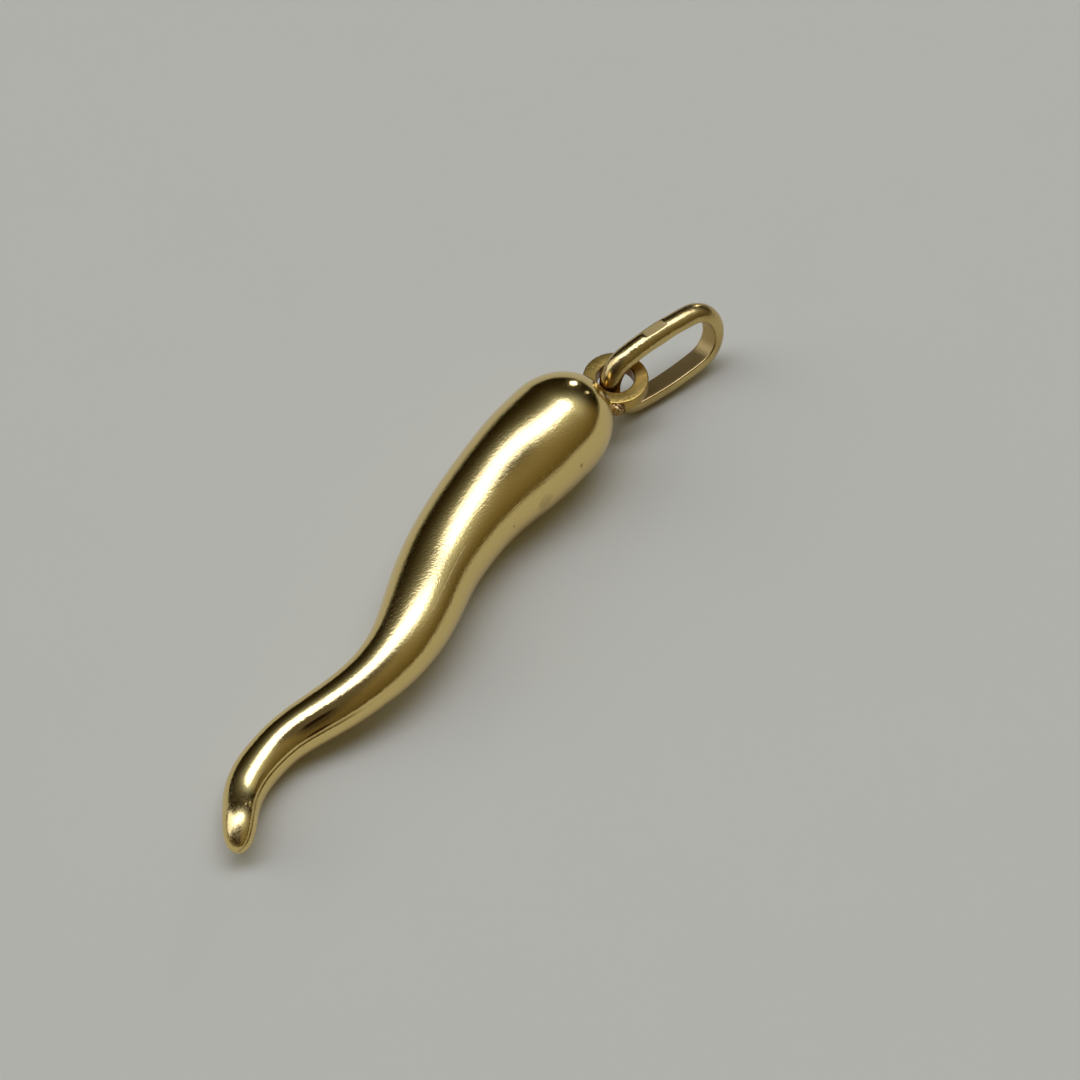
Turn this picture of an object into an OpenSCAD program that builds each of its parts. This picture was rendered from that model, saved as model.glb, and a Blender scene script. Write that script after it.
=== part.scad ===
// A polished gold horn charm with a flat eyelet on its head and an oval bail through the eyelet.
// It lies on a flat surface, tip towards -X. Z is up and all lengths are in millimetres.
// The origin is on the surface, under the middle of the whole charm's box.

/* [Horn] */
// Length of the horn without its eyelet
horn_l = 25.8; // [18:0.1:45]
// Thickness of the horn across its head
head_d = 4.6; // [3:0.1:8]
// Length of the rounded end of the head
head_cap_l = 2.9; // [2:0.1:5]
// Length of the rounded end of the tip
tip_cap_l = 1.3; // [0.8:0.1:2]

/* [Eyelet] */
// Outer diameter of the washer-shaped eyelet
eyelet_d = 2.8; // [2.6:0.1:3.2]
// Diameter of the eyelet's hole
eyelet_hole_d = 1.7; // [1.65:0.05:1.8]
// Thickness of the eyelet
eyelet_t = 0.6; // [0.4:0.05:0.7]
// Height of the eyelet's upper face above the surface
eyelet_top = 2.25; // [2.15:0.05:2.3]
// How far the eyelet's rim is set into the end of the head
eyelet_set_in = 0.25; // [0.2:0.05:0.5]
// Direction of the eyelet from the end of the head, seen from above
eyelet_turn = -10; // [-20:1:0]

/* [Bail] */
// Length of the opening inside the bail
bail_inner_l = 5.15; // [4.8:0.05:6]
// Width of the opening inside the bail
bail_inner_w = 2.2; // [2.2:0.05:2.6]
// Inner radius of the bail's round ends
bail_end_r = 1; // [0.9:0.05:1.05]
// Width of the half-round wire, across its flat inner side
wire_w = 1; // [0.9:0.05:1.05]
// Thickness of the wire, from its flat side to its crown
wire_t = 0.68; // [0.6:0.02:0.72]
// Length of the small flat pressed into the wire's crown
flat_l = 1.1; // [0.6:0.1:1.6]
// Depth of that flat
flat_depth = 0.08; // [0.04:0.01:0.12]

/* [Lie] */
// Turn of the bail seen from above, from the line of the horn
bail_turn = -18.5; // [-24:0.5:-14]
// Rise of the bail towards its free end
bail_rise = 4; // [2:1:6]
// Lean of the bail away from upright
bail_lean = 17; // [13:0.5:20]
// Play between the wire and the head's side of the eyelet's hole
bail_play = 0.1; // [0.08:0.01:0.16]

/* [Hidden] */

gold = [0.83, 0.66, 0.32];

// Form of the horn, a row for each section from tip to head.
// along: place, in percent of the horn's length
// side: shift of the axis to +Y, in percent of the head's thickness
// thick: diameter, in percent of the head's thickness
// under: rise of its underside, in percent of the head's thickness. The horn lies rolled a little on its
// bends, so it rests on the outside of its far bends, and its near bend and its tip stand clear.
along = 0;
side = 1;
thick = 2;
under = 3;
sections = [
    [3.4, 8, 30, 10],
    [6.5, 19, 33.5, 5.2],
    [10, 27.1, 37.5, 1.2],
    [15, 29.4, 40, 0.2],
    [20, 24.7, 42.5, 2],
    [26, 10.3, 46.5, 6.7],
    [33, -3.7, 50.5, 11.5],
    [41, -8.1, 60, 11.3],
    [49, 0.8, 70, 6.6],
    [56, 12.2, 74.5, 3.3],
    [65, 19.4, 80.5, 1.4],
    [73, 19.3, 88.5, 0.4],
    [81, 14, 99, 0],
    [88, 9.3, 100, 2.4]
];
last = len(sections) - 1;

// Facets round the horn, rings between two sections and rings in each rounded end
horn_sides = 40;
rings_per_section = 4;
cap_rings = 9;
eyelet_fn = 96;

// Steps over the wire's crown, round each end of the bail and along each of its sides
crown_steps = 14;
end_steps = 32;
side_steps = 10;

// Percent of a length
function share(percent, whole) = percent / 100 * whole;

// A table column in millimetres: place along the horn, or the column c at row i
function place(i) = share(sections[i][along], horn_l);
function value(i, c) = share(sections[i][c], head_d);

// Slope of column c at row i, so that the form runs smoothly through its rows
function secant(i, c) = (value(i + 1, c) - value(i, c)) / (place(i + 1) - place(i));
function middle_slope(i, c) = (value(i + 1, c) - value(i - 1, c)) / (place(i + 1) - place(i - 1));
function slope(i, c) =
    i == 0 ? 2 * secant(0, c) - middle_slope(1, c)
    : i == last ? 2 * secant(last - 1, c) - middle_slope(last - 1, c)
    : middle_slope(i, c);

// Column c and its slope between rows i and i + 1, with u running from 0 to 1
function blend(i, u, c) =
    let (gap = place(i + 1) - place(i), u2 = u * u, u3 = u2 * u)
    (2 * u3 - 3 * u2 + 1) * value(i, c) + (u3 - 2 * u2 + u) * gap * slope(i, c)
    + (3 * u2 - 2 * u3) * value(i + 1, c) + (u3 - u2) * gap * slope(i + 1, c);
function blend_slope(i, u, c) =
    let (gap = place(i + 1) - place(i), u2 = u * u)
    (6 * u2 - 6 * u) * (value(i, c) - value(i + 1, c)) / gap
    + (3 * u2 - 4 * u + 1) * slope(i, c) + (3 * u2 - 2 * u) * slope(i + 1, c);

// The lowest place of the underside rests on the surface
under_low = min([for (i = [0:last - 1]) for (k = [0:rings_per_section]) blend(i, k / rings_per_section, under)]);

// A ring of the horn is [x, y, heading, radius, height of its centre]
function body_ring(i, u) =
    let (r = blend(i, u, thick) / 2)
    [
        place(i) + u * (place(i + 1) - place(i)), blend(i, u, side), atan(blend_slope(i, u, side)),
        r, r + blend(i, u, under) - under_low
    ];

// A rounded end swells out of ring b: way is -1 at the tip and 1 at the head
function cap_ring(b, way, cap_l, angle) =
    [
        b[0] + way * cap_l * sin(angle) * cos(b[2]),
        b[1] + way * cap_l * sin(angle) * sin(b[2]),
        b[2], b[3] * cos(angle), b[4]
    ];
function cap_end(b, way, cap_l) =
    let (e = cap_ring(b, way, cap_l, 90))
    [e[0], e[1], e[4]];

tip_ring = body_ring(0, 0);
head_ring = body_ring(last - 1, 1);
cap_step = 90 / (cap_rings + 1);
rings = [
    for (k = [cap_rings:-1:1]) cap_ring(tip_ring, -1, tip_cap_l, k * cap_step),
    for (i = [0:last - 1]) for (k = [0:rings_per_section - 1]) body_ring(i, k / rings_per_section),
    head_ring,
    for (k = [1:cap_rings]) cap_ring(head_ring, 1, head_cap_l, k * cap_step)
];
ring_points = [
    for (g = rings) for (k = [0:horn_sides - 1])
        let (a = 360 * k / horn_sides)
        [g[0] - g[3] * cos(a) * sin(g[2]), g[1] + g[3] * cos(a) * cos(g[2]), g[4] + g[3] * sin(a)]
];
tip_end = cap_end(tip_ring, -1, tip_cap_l);
head_end = cap_end(head_ring, 1, head_cap_l);
horn_points = concat(ring_points, [tip_end, head_end]);

// Faces between rings g and h, which have the same number of sides
function corner(g, k, sides) = g * sides + k % sides;
function band(g, h, sides) = [
    for (k = [0:sides - 1]) each [
        [corner(g, k, sides), corner(h, k + 1, sides), corner(g, k + 1, sides)],
        [corner(g, k, sides), corner(h, k, sides), corner(h, k + 1, sides)]
    ]
];

// The horn's faces: bands between its rings, and a fan at each end
last_ring = len(rings) - 1;
tip_index = len(ring_points);
head_index = tip_index + 1;
horn_faces = [
    for (g = [0:last_ring - 1]) each band(g, g + 1, horn_sides),
    for (k = [0:horn_sides - 1])
        [tip_index, corner(0, k, horn_sides), corner(0, k + 1, horn_sides)],
    for (k = [0:horn_sides - 1])
        [head_index, corner(last_ring, k + 1, horn_sides), corner(last_ring, k, horn_sides)]
];

// The eyelet stands out of the end of the head
eyelet_reach = eyelet_d / 2 - eyelet_set_in;
eyelet_x = head_end[0] + eyelet_reach * cos(eyelet_turn);
eyelet_y = head_end[1] + eyelet_reach * sin(eyelet_turn);

// Solder fills the corner between the head and the eyelet, on its lower side
solder_wide = 0.5;
solder_narrow = 0.3;
solder_reach = 0.35;
solder_drop = 0.25;
solder_fn = 32;

// The bail's opening is an oval of four arcs: two round ends, and two sides of a large radius.
// side_angle is half of what a side arc turns.
wire_r = wire_w / 2;
wire_web = wire_t - wire_r;
half_l = bail_inner_l / 2;
half_w = bail_inner_w / 2;
end_x = half_l - bail_end_r;
side_r = (end_x * end_x + half_w * half_w - bail_end_r * bail_end_r) / (2 * (half_w - bail_end_r));
side_y = side_r - half_w;
side_angle = atan(end_x / side_y);

// Axes of the bail along its length and across its opening, and its reach in direction d
bail_along = [cos(bail_rise) * cos(bail_turn), cos(bail_rise) * sin(bail_turn), sin(bail_rise)];
lean_x = -cos(bail_lean) * sin(bail_rise);
lean_y = sin(bail_lean);
bail_across = [
    lean_x * cos(bail_turn) - lean_y * sin(bail_turn),
    lean_x * sin(bail_turn) + lean_y * cos(bail_turn),
    cos(bail_lean) * cos(bail_rise)
];
function bail_reach(d) =
    let (a = abs(bail_along * d), b = abs(bail_across * d), both = sqrt(a * a + b * b))
    (atan2(a, b) < side_angle ? side_r * both - side_y * b : end_x * a + bail_end_r * both)
    + wire_web * both + wire_r;

// Stops along the opening's edge, each [x, y, direction of the outward normal]
function arc_stops(x, y, r, from, sweep, steps) =
    [for (k = [0:steps - 1]) let (a = from + sweep * k / steps) [x + r * cos(a), y + r * sin(a), a]];
end_half = 90 - side_angle;
half_stops = concat(
    arc_stops(end_x, 0, bail_end_r, -end_half, 2 * end_half, end_steps),
    arc_stops(0, -side_y, side_r, end_half, 2 * side_angle, side_steps)
);
stops = [for (way = [1, -1]) for (p = half_stops) [way * p[0], way * p[1], p[2] + (1 - way) * 90]];

// Section of the wire: distance out from the opening's edge, and height along the opening
wire_section = concat(
    [[0, -wire_r]],
    [for (k = [0:crown_steps]) let (a = 180 * k / crown_steps) [wire_web + wire_r * sin(a), -wire_r * cos(a)]],
    [[0, wire_r]]
);
wire_sides = len(wire_section);
bail_points = [
    for (p = stops) for (w = wire_section)
        [p[0] + w[0] * cos(p[2]), p[1] + w[0] * sin(p[2]), w[1]]
];
bail_faces = [for (g = [0:len(stops) - 1]) each band((g + 1) % len(stops), g, wire_sides)];

// The bail rests on the surface, with the wire of its near end inside the eyelet's hole
bail_z = bail_reach([0, 0, 1]);
bail_back = half_l + wire_t + bail_play - eyelet_hole_d / 2;
// The lean moves the wire sideways at the eyelet's height, so the bail sits that much to the other side
eyelet_mid = eyelet_top - eyelet_t / 2;
bail_aside = (bail_z - eyelet_mid) * tan(bail_lean);
bail_x = eyelet_x + bail_back * cos(bail_turn) - bail_aside * sin(bail_turn);
bail_y = eyelet_y + bail_back * sin(bail_turn) + bail_aside * cos(bail_turn);

// The middle of the whole charm's box, which the origin lies under
horn_xs = [for (p = horn_points) p[0]];
horn_ys = [for (p = horn_points) p[1]];
box_x = (min(horn_xs) + bail_x + bail_reach([1, 0, 0])) / 2;
box_y = (max(horn_ys) + min(min(horn_ys), bail_y - bail_reach([0, 1, 0]))) / 2;

module from_box_middle() {
    translate([-box_x, -box_y, 0]) children();
}

module horn_body() {
    polyhedron(points = horn_points, faces = horn_faces, convexity = 6);
}

module eyelet_disc() {
    translate([eyelet_x, eyelet_y, eyelet_top - eyelet_t]) cylinder(d = eyelet_d, h = eyelet_t, $fn = eyelet_fn);
}

module eyelet_hole() {
    translate([eyelet_x, eyelet_y, -eyelet_t]) cylinder(d = eyelet_hole_d, h = head_d, $fn = eyelet_fn);
}

module solder() {
    translate([head_end[0], head_end[1], eyelet_top - eyelet_t - solder_drop]) rotate([0, 0, eyelet_turn]) hull() {
        translate([-solder_reach, 0, 0]) cylinder(r = solder_wide, h = eyelet_t, $fn = solder_fn);
        translate([solder_reach - solder_narrow, 0, 0]) cylinder(r = solder_narrow, h = eyelet_t, $fn = solder_fn);
    }
}

// The horn, its eyelet and the solder between them are one solid
module horn() {
    color(gold) from_box_middle() difference() {
        union() {
            horn_body();
            eyelet_disc();
            solder();
        }
        eyelet_hole();
    }
}

// The oval ring lies flat here, with its length along X
module bail_ring() {
    polyhedron(points = bail_points, faces = bail_faces, convexity = 4);
}

// The small flat is on the crown of the upper strand
module crown_flat() {
    translate([-flat_l / 2, half_w + wire_t - flat_depth, -wire_w]) cube([flat_l, wire_w, 2 * wire_w]);
}

module bail() {
    color(gold) from_box_middle()
        translate([bail_x, bail_y, bail_z]) rotate([0, 0, bail_turn]) rotate([0, -bail_rise, 0])
            rotate([90 - bail_lean, 0, 0]) difference() {
                bail_ring();
                crown_flat();
            }
}

horn();
bail();
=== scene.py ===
"""A polished gold horn charm with its eyelet and its oval bail, on a plain pale floor.

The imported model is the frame: sizes here are in millimetres in the panel and metres in the meshes.
"""
import math

import bmesh
import bpy
from mathutils import Matrix, Vector, noise


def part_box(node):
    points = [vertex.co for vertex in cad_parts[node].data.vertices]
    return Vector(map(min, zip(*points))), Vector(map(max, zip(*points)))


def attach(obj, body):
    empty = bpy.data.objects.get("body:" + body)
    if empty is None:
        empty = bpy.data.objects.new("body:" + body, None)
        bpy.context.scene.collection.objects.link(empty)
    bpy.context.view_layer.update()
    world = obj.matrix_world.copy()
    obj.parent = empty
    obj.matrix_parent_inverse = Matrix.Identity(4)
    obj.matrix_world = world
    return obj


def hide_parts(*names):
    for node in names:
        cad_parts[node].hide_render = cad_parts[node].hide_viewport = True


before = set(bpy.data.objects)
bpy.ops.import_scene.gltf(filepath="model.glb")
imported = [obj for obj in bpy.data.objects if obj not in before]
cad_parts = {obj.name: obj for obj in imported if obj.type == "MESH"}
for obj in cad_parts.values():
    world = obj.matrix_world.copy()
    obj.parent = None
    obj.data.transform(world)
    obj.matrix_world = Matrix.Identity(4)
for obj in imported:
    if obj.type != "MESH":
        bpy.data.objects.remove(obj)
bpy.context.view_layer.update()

bl_info = {
    "name": "Gold Horn Charm",
    "version": (1, 0, 0),
    "blender": (4, 5, 0),
    "location": "3D View > Sidebar > Horn Charm",
    "description": "Builds a gold horn charm, its eyelet and its bail",
    "category": "Add Mesh",
}

MM = 0.001
TURN = 2 * math.pi

# Form of the horn from tip to head: place along it in percent of its length, then side shift of its
# axis, thickness and rise of its underside in percent of the head's thickness
SECTIONS = (
    (5.0, 13.6, 31.8, 8.6),
    (6.5, 19.0, 33.5, 5.2),
    (10.0, 27.1, 37.5, 1.2),
    (15.0, 29.4, 40.0, 0.2),
    (20.0, 24.7, 42.5, 2.0),
    (26.0, 10.3, 46.5, 6.7),
    (33.0, -3.7, 50.5, 11.5),
    (41.0, -8.1, 60.0, 11.3),
    (49.0, 0.8, 70.0, 6.6),
    (56.0, 12.2, 74.5, 3.3),
    (65.0, 19.4, 80.5, 1.4),
    (73.0, 19.3, 88.5, 0.4),
    (81.0, 14.0, 99.0, 0.0),
    (88.0, 9.3, 100.0, 2.4),
)

# Place of the seam on the side of the tail: percent of the length along, degrees from the top
SEAM = (
    (0.0, 52.0),
    (10.0, 57.0),
    (20.0, 62.0),
    (34.0, 69.5),
    (45.0, 73.0),
)

# Marks on the horn. Places are millimetres along and degrees from the top towards the near side.
# Long scratch: place of each end and half width in millimetres
SCRATCH = (11.9, 32.0, 15.1, 35.4, 0.013)
# Brown smudges on the tail: place, half length in millimetres, half width in degrees, strength
SMUDGES = (
    (6.1, 32.5, 0.62, 3.6, 1.0),
    (5.95, 56.0, 0.55, 3.2, 1.0),
    (2.3, 41.0, 0.7, 3.0, 0.5),
)
# Browner gold round the smudges: place, half length, half width, strength
TINT = (6.8, 45.0, 2.4, 13.0, 0.3)
# Small nicks: place, half length, half width
NICKS = (
    (21.9, 78.5, 0.07, 2.4),
    (17.8, 79.3, 0.05, 1.5),
)
# Patch of fine file marks: place, half length, half width, and the lines' spacing in millimetres
FILE_MARKS = (19.8, 84.0, 0.4, 9.0)
FILE_SPACING = 0.12
# Width of a degree on the skin at the scratch, in millimetres
MM_PER_DEGREE = 0.029

# Lumps of solder, placed from the middle of the eyelet: along its direction, across it and up, then
# the half sizes along, across and up, all in millimetres
SOLDER_LUMPS = (
    ("eyelet_solder", -1.18, 0.0, -0.3, 0.36, 0.72, 0.42),
    ("eyelet_solder_front", -0.95, -0.85, -0.06, 0.32, 0.5, 0.33),
)
# Bumps on the solder: depth in half sizes, and how many there are to a half size
SOLDER_BUMPS = ((0.16, 1.7), (0.09, 4.5), (0.03, 12))

# Unevenness of the horn's skin: lengths of its long and short waves in millimetres, share and shift
# of the short ones, its lie and swing in depths of the waviness, and the radius where it is full
WAVE_LONG, WAVE_SHORT = 2.6, 1.1
SHORT_SHARE, SHORT_SHIFT = 0.4, (7, 3, 1)
WAVE_DEPTH, WAVE_SWING, WAVE_FULL_R = 1.5, 0.4, 0.6
# The seam's groove ends between two shares of the length, and fades below a radius in millimetres
GROOVE_END, GROOVE_FULL_R = (0.36, 0.44), 0.25

# How far the wire's skin looks inward where its flat inner side begins and where it is all there
INNER_SIDE = (0.85, 0.97)
# Flat on the bail, in its half lengths: where it ends and how far the bulge behind it reaches. Then
# the share of its depth from which it is bare, and the share of the wire that bulges
FLAT_END, BULGE_REACH = (0.86, 1.06), 1.3
BARE_SHARE, BULGE_SHARE = 0.2, 0.2

# Steps of the meshes: round the horn, along its body and each end, and those that find its reach;
# round the washer and over its rims; along an end and a side of the bail; over half its wire's
# crown, a corner and half its flat side; and levels of the solder
HORN_STEPS, REACH_STEPS = (192, 300, 44), (400, 40)
WASHER_STEPS, RIM_STEPS = 160, 5
BAIL_STEPS, WIRE_STEPS = (72, 36), (16, 4, 4)
SOLDER_LEVELS = 6
# An edge sharper than this is a rim, and vertices closer than this in millimetres are joined
RIM_ANGLE = math.radians(60)
JOIN_GAP = 0.004


def length(name, text, default, low, high):
    """A size property, in metres inside and in millimetres in its default."""
    return bpy.props.FloatProperty(
        name=name, description=text, default=default * MM, min=low * MM, max=high * MM,
        precision=5, unit="LENGTH", subtype="DISTANCE",
    )


def turn(name, text, default):
    """An angle property, with its default in degrees."""
    return bpy.props.FloatProperty(
        name=name, description=text, default=math.radians(default), subtype="ANGLE",
    )


def factor(name, text, default, high=1.0):
    """A plain number."""
    return bpy.props.FloatProperty(name=name, description=text, default=default, min=0.0, max=high)


def colour(name, text, default):
    """A colour."""
    return bpy.props.FloatVectorProperty(
        name=name, description=text, default=default, size=3, min=0.0, max=1.0, subtype="COLOR",
    )


class HornSizes(bpy.types.PropertyGroup):
    horn_l: length("Length", "Length of the horn without its eyelet", 25.8, 18, 45)
    head_d: length("Head", "Thickness of the horn across its head", 4.6, 3, 8)
    head_cap_l: length("Head end", "Length of the rounded end of the head", 2.9, 2, 5)
    tip_cap_l: length("Tip end", "Length of the rounded end of the tip", 1.77, 0.8, 2.5)
    tip_blunt: factor("Tip bluntness", "2 is an ellipse and more is blunter", 2.4, 4.0)
    waviness: length("Waviness", "Depth of the unevenness left by hand polishing", 0.005, 0, 0.05)
    seam_depth: length("Seam depth", "Depth of the line where the two halves meet", 0.014, 0, 0.1)
    seam_width: length("Seam width", "Half width of that line", 0.06, 0.01, 0.2)


class EyeletSizes(bpy.types.PropertyGroup):
    eyelet_d: length("Diameter", "Outer diameter of the washer-shaped eyelet", 2.8, 2, 4)
    eyelet_hole_d: length("Hole", "Diameter of the eyelet's hole", 1.6, 1, 2.5)
    eyelet_t: length("Thickness", "Thickness of the eyelet", 0.6, 0.3, 1)
    eyelet_top: length("Upper face", "Height of the eyelet's upper face", 2.25, 2, 3)
    eyelet_set_in: length("Set in", "How far the rim is set into the head", 0.25, 0, 0.6)
    eyelet_turn: turn("Direction", "Direction of the eyelet, seen from above", -10)
    edge_r: length("Outer edge", "Rounding of the eyelet's outer edges", 0.06, 0.01, 0.2)
    hole_edge_r: length("Hole's edge", "Rounding of the hole's edges", 0.03, 0.01, 0.1)


class BailSizes(bpy.types.PropertyGroup):
    inner_l: length("Opening length", "Length of the opening inside the bail", 5.15, 4.5, 6)
    inner_w: length("Opening width", "Width of the opening inside the bail", 2.2, 2, 3)
    end_r: length("End radius", "Inner radius of the bail's round ends", 1.0, 0.8, 1.1)
    wire_w: length("Wire width", "Width of the half-round wire", 1.0, 0.8, 1.2)
    wire_t: length("Wire thickness", "Thickness of the wire, flat side to crown", 0.674, 0.5, 0.8)
    corner_r: length("Wire corner", "Rounding of the wire's two inner corners", 0.07, 0.01, 0.2)
    flat_l: length("Flat", "Length of the small flat pressed into the crown", 1.1, 0.5, 2)
    flat_depth: length("Flat depth", "Depth of that flat", 0.08, 0.02, 0.2)
    bulge: length("Bulge", "How far the wire is pushed inward behind the flat", 0.03, 0, 0.1)
    bail_turn: turn("Turn", "Turn of the bail seen from above", -18.5)
    bail_rise: turn("Rise", "Rise of the bail towards its free end", 4)
    bail_lean: turn("Lean", "Lean of the bail away from upright", 17)


class GoldFinish(bpy.types.PropertyGroup):
    gold: colour("Gold", "Colour of the polished metal", (0.83, 0.63, 0.25))
    # The tarnish colour also serves as painted shade inside the eyelet's hole
    tarnish: colour("Tarnish", "Colour of the brown film in corners and lines", (0.15, 0.072, 0.02))
    solder: colour("Solder", "Colour of the rough solder", (0.60, 0.42, 0.17))
    dull: colour("Dull gold", "Colour of the eyelet's rubbed faces", (0.62, 0.42, 0.10))
    # The film colour also serves as painted shade on the wire's inner side and where it passes
    # through the eyelet
    film: colour("Film", "Colour of the gold under a brown film", (0.30, 0.17, 0.05))
    polish: factor("Polish roughness", "Roughness of the polished metal", 0.11)
    satin: factor("Satin roughness", "Roughness of the eyelet's rubbed faces", 0.32)
    grain: length("Grain", "Depth of the fine grain on the polished metal", 0.0095, 0, 0.05)


class StageSettings(bpy.types.PropertyGroup):
    floor: colour("Floor", "Colour of the floor", (0.645, 0.616, 0.447))
    camera_gap: length("Camera distance", "From the camera to its aim point", 127.56, 50, 400)
    camera_tilt: turn("Camera height", "Angle of the camera above the floor", 54)
    camera_turn: turn("Camera direction", "Direction the camera looks in, seen from above", 33.9)
    camera_view: turn("Field of view", "Width of the camera's view", 20)
    aim_x: length("Aim X", "Point that the camera looks at, along the charm", 3.291, -50, 50)
    aim_y: length("Aim Y", "Point that the camera looks at, across the charm", -1.503, -50, 50)


PANEL_GROUPS = (
    ("horn_charm_horn", HornSizes, "Horn"),
    ("horn_charm_eyelet", EyeletSizes, "Eyelet"),
    ("horn_charm_bail", BailSizes, "Bail"),
    ("horn_charm_finish", GoldFinish, "Finish"),
    ("horn_charm_stage", StageSettings, "Stage"),
)


# Smooth curves through a table

def solve_bends(xs, ys):
    """Second derivatives of the natural cubic spline through the points."""
    last = len(xs) - 1
    bends = [0.0] * (last + 1)
    upper = [0.0] * (last + 1)
    for i in range(1, last):
        gap_a, gap_b = xs[i] - xs[i - 1], xs[i + 1] - xs[i]
        step = (ys[i + 1] - ys[i]) / gap_b - (ys[i] - ys[i - 1]) / gap_a
        pivot = 2 * (gap_a + gap_b) - gap_a * upper[i - 1]
        upper[i] = gap_b / pivot
        bends[i] = (6 * step - gap_a * bends[i - 1]) / pivot
    for i in range(last - 1, 0, -1):
        bends[i] -= upper[i] * bends[i + 1]
    return bends


class SmoothColumn:
    """One column of a table as a smooth curve, with its slope."""

    def __init__(self, xs, ys):
        self.xs, self.ys = list(xs), list(ys)
        self.bends = solve_bends(self.xs, self.ys)

    def span(self, x):
        """Row that x lies behind, the gap to the next one, and the shares of the two."""
        i = 0
        while i < len(self.xs) - 2 and x > self.xs[i + 1]:
            i += 1
        gap = self.xs[i + 1] - self.xs[i]
        return i, gap, (self.xs[i + 1] - x) / gap, (x - self.xs[i]) / gap

    def value(self, x):
        i, gap, a, b = self.span(x)
        bend = (a ** 3 - a) * self.bends[i] + (b ** 3 - b) * self.bends[i + 1]
        return a * self.ys[i] + b * self.ys[i + 1] + bend * gap * gap / 6

    def slope(self, x):
        i, gap, a, b = self.span(x)
        bend = (3 * b * b - 1) * self.bends[i + 1] - (3 * a * a - 1) * self.bends[i]
        return (self.ys[i + 1] - self.ys[i]) / gap + bend * gap / 6


def smooth(low, high, x):
    """0 below low, 1 above high and a soft step between."""
    u = min(max((x - low) / (high - low), 0.0), 1.0)
    return u * u * (3 - 2 * u)


# The horn's own line

class HornLine:
    """Rings of the horn from tip to head, in the row frame."""

    def __init__(self, sizes):
        self.sizes = sizes
        self.length = sizes.horn_l
        places = [row[0] / 100 * sizes.horn_l for row in SECTIONS]
        self.side = SmoothColumn(places, [row[1] / 100 * sizes.head_d for row in SECTIONS])
        self.radius = SmoothColumn(places, [row[2] / 200 * sizes.head_d for row in SECTIONS])
        self.rise = SmoothColumn(places, [row[3] / 100 * sizes.head_d for row in SECTIONS])
        self.first, self.last = places[0], places[-1]
        self.seam = SmoothColumn(
            [row[0] / 100 * sizes.horn_l for row in SEAM], [math.radians(row[1]) for row in SEAM])
        # The tip is the frame's lowest X, the outside of the widest bend its highest Y, and the
        # horn rests on its lowest Z
        rings = self.rings(*REACH_STEPS)
        low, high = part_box("horn")
        low_x = min(r["x"] - r["r"] * abs(math.sin(r["heading"])) for r in rings)
        high_y = max(r["y"] + r["r"] * math.cos(r["heading"]) for r in rings)
        low_z = min(r["z"] - r["r"] for r in rings)
        self.shift = Vector((low[0] - low_x, high[1] - high_y, low[2] - low_z))

    def ring(self, x):
        """Middle, direction and radius of the horn at a place along it."""
        r = self.radius.value(x)
        return {"x": x, "y": self.side.value(x), "heading": math.atan(self.side.slope(x)),
                "r": r, "z": r + self.rise.value(x), "along": x}

    def cap_ring(self, base, way, cap_l, share, blunt=2.0):
        """Ring of a rounded end, share 0 at the body and 1 at the pole: a quarter of an ellipse,
        or of a blunter oval, that takes over the body's slopes so that no crease shows."""
        reach = math.sin(math.pi / 2 * share)
        out = way * cap_l * reach
        carry = out * (1 - reach) ** 2
        fall = (1 - reach ** blunt) ** (1 / blunt)
        return {"x": base["x"] + out * math.cos(base["heading"]),
                "y": base["y"] + out * math.sin(base["heading"]), "heading": base["heading"],
                "r": base["r"] * fall + carry * self.radius.slope(base["along"]),
                "z": base["z"] + carry * self.rise.slope(base["along"]),
                "along": base["along"] + out}

    def rings(self, body_steps, cap_steps):
        """From pole to pole: the first and the last ring have no size."""
        tip, head = self.ring(self.first), self.ring(self.last)
        quarter = [k / cap_steps for k in range(1, cap_steps + 1)]
        out = [self.cap_ring(tip, -1, self.sizes.tip_cap_l, a, self.sizes.tip_blunt)
               for a in reversed(quarter)]
        out += [self.ring(self.first + (self.last - self.first) * k / body_steps)
                for k in range(body_steps + 1)]
        out += [self.cap_ring(head, 1, self.sizes.head_cap_l, a) for a in quarter]
        return out

    def centre(self, ring):
        """Middle of a ring in the frame."""
        return Vector((ring["x"], ring["y"], ring["z"])) + self.shift

    def head_end(self):
        """Pole of the head."""
        base = self.ring(self.last)
        return self.centre(self.cap_ring(base, 1, self.sizes.head_cap_l, 1.0))

    def seam_gap(self, ring, angle):
        """Distance round the skin from the seam."""
        return ring["r"] * (angle - self.seam.value(ring["along"]))

    def outward(self, ring, angle):
        """Direction out of the ring at an angle from its top, towards -Y."""
        heading = ring["heading"]
        side = Vector((math.sin(heading), -math.cos(heading), 0))
        return side * math.sin(angle) + Vector((0, 0, math.cos(angle)))


# Meshes

def finished(bm, name, material):
    """Makes the bmesh a smooth piece in the scene, with its faces outward."""
    bmesh.ops.recalc_face_normals(bm, faces=bm.faces)
    for face in bm.faces:
        face.smooth = True
    mesh = bpy.data.meshes.new(name)
    bm.to_mesh(mesh)
    bm.free()
    mesh.materials.append(material)
    piece = bpy.data.objects.new(name, mesh)
    bpy.context.scene.collection.objects.link(piece)
    return piece


def settle(piece, node):
    """Every piece of the charm rides on the one body, and the CAD node that it takes over is hidden.
    """
    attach(piece, "root")
    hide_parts(node)


def next_hoop(bm, edges):
    """Extrudes a closed row of edges; gives the new row's edges and vertices."""
    new = bmesh.ops.extrude_edge_only(bm, edges=edges)["geom"]
    verts = [g for g in new if isinstance(g, bmesh.types.BMVert)]
    inside = set(verts)
    edges = [g for g in new if isinstance(g, bmesh.types.BMEdge) and inside.issuperset(g.verts)]
    return edges, verts


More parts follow.
